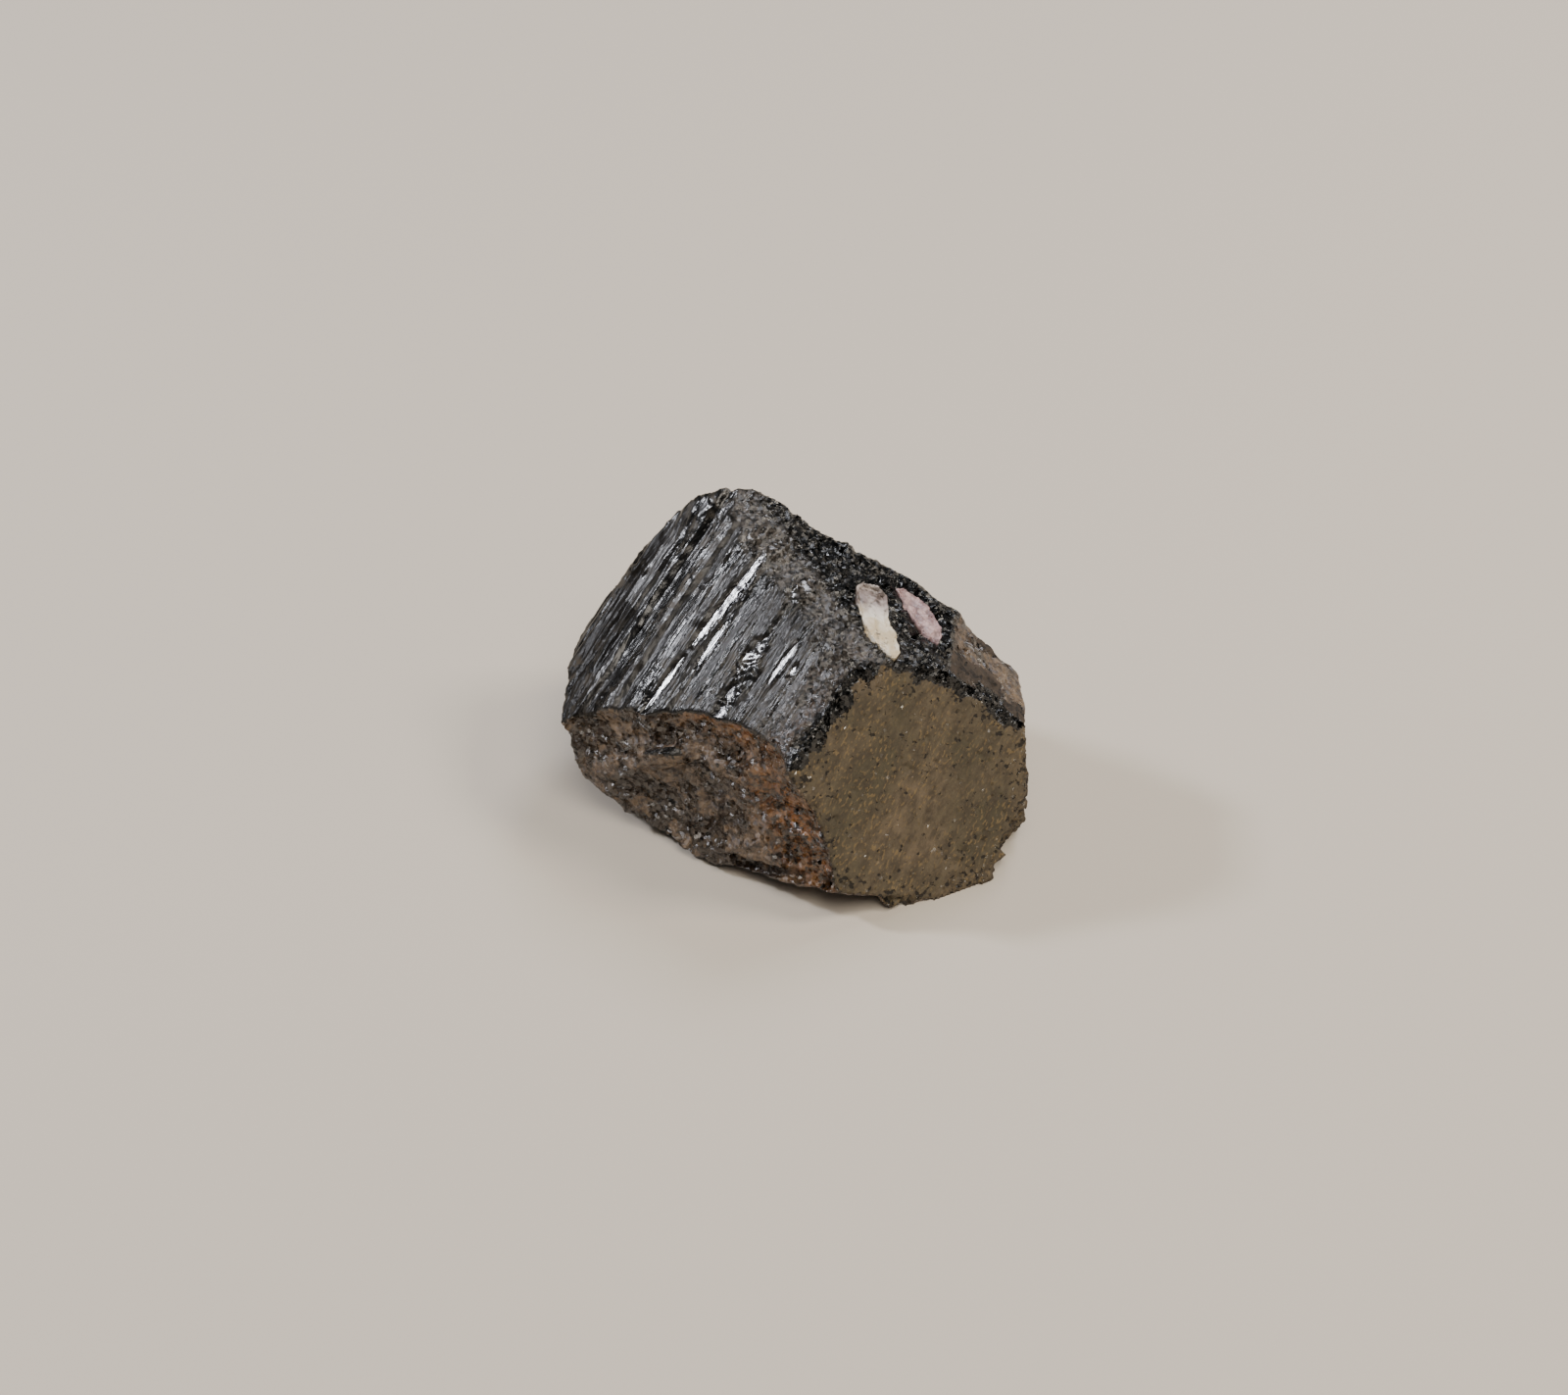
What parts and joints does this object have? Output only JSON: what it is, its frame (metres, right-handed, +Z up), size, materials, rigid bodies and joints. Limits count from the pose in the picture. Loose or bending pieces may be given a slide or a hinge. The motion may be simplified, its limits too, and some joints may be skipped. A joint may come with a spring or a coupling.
{
  "type": "stibiotantalite crystal",
  "caption": "Loose striated dark brown mineral crystal with one broad flat face, a broken side and small set-in pale grains, resting on a flat spot.",
  "frame": {"origin": "middle of the bounding box's bottom, on the surface that the crystal rests on", "axes": "+X to the right along the crystal's greatest width, -Y towards the viewer, where the broad flat face shows, +Z up"},
  "size_m": [0.0352, 0.029, 0.0214],
  "materials": {
    "crystal": "dark brown resinous to adamantine crystal, striated and glossy on the prism faces, matte olive brown on the broad flat face",
    "cream_grain": "pale cream to pinkish feldspar with pearly cleavage",
    "lilac_grain": "pale lilac scaly mica with a soft pearly sheen"
  },
  "bodies": {
    "root": {"stibiotantalite_crystal": "crystal", "cream_feldspar_flake": "cream_grain", "lilac_mica_patch": "lilac_grain"}
  },
  "joints": []
}
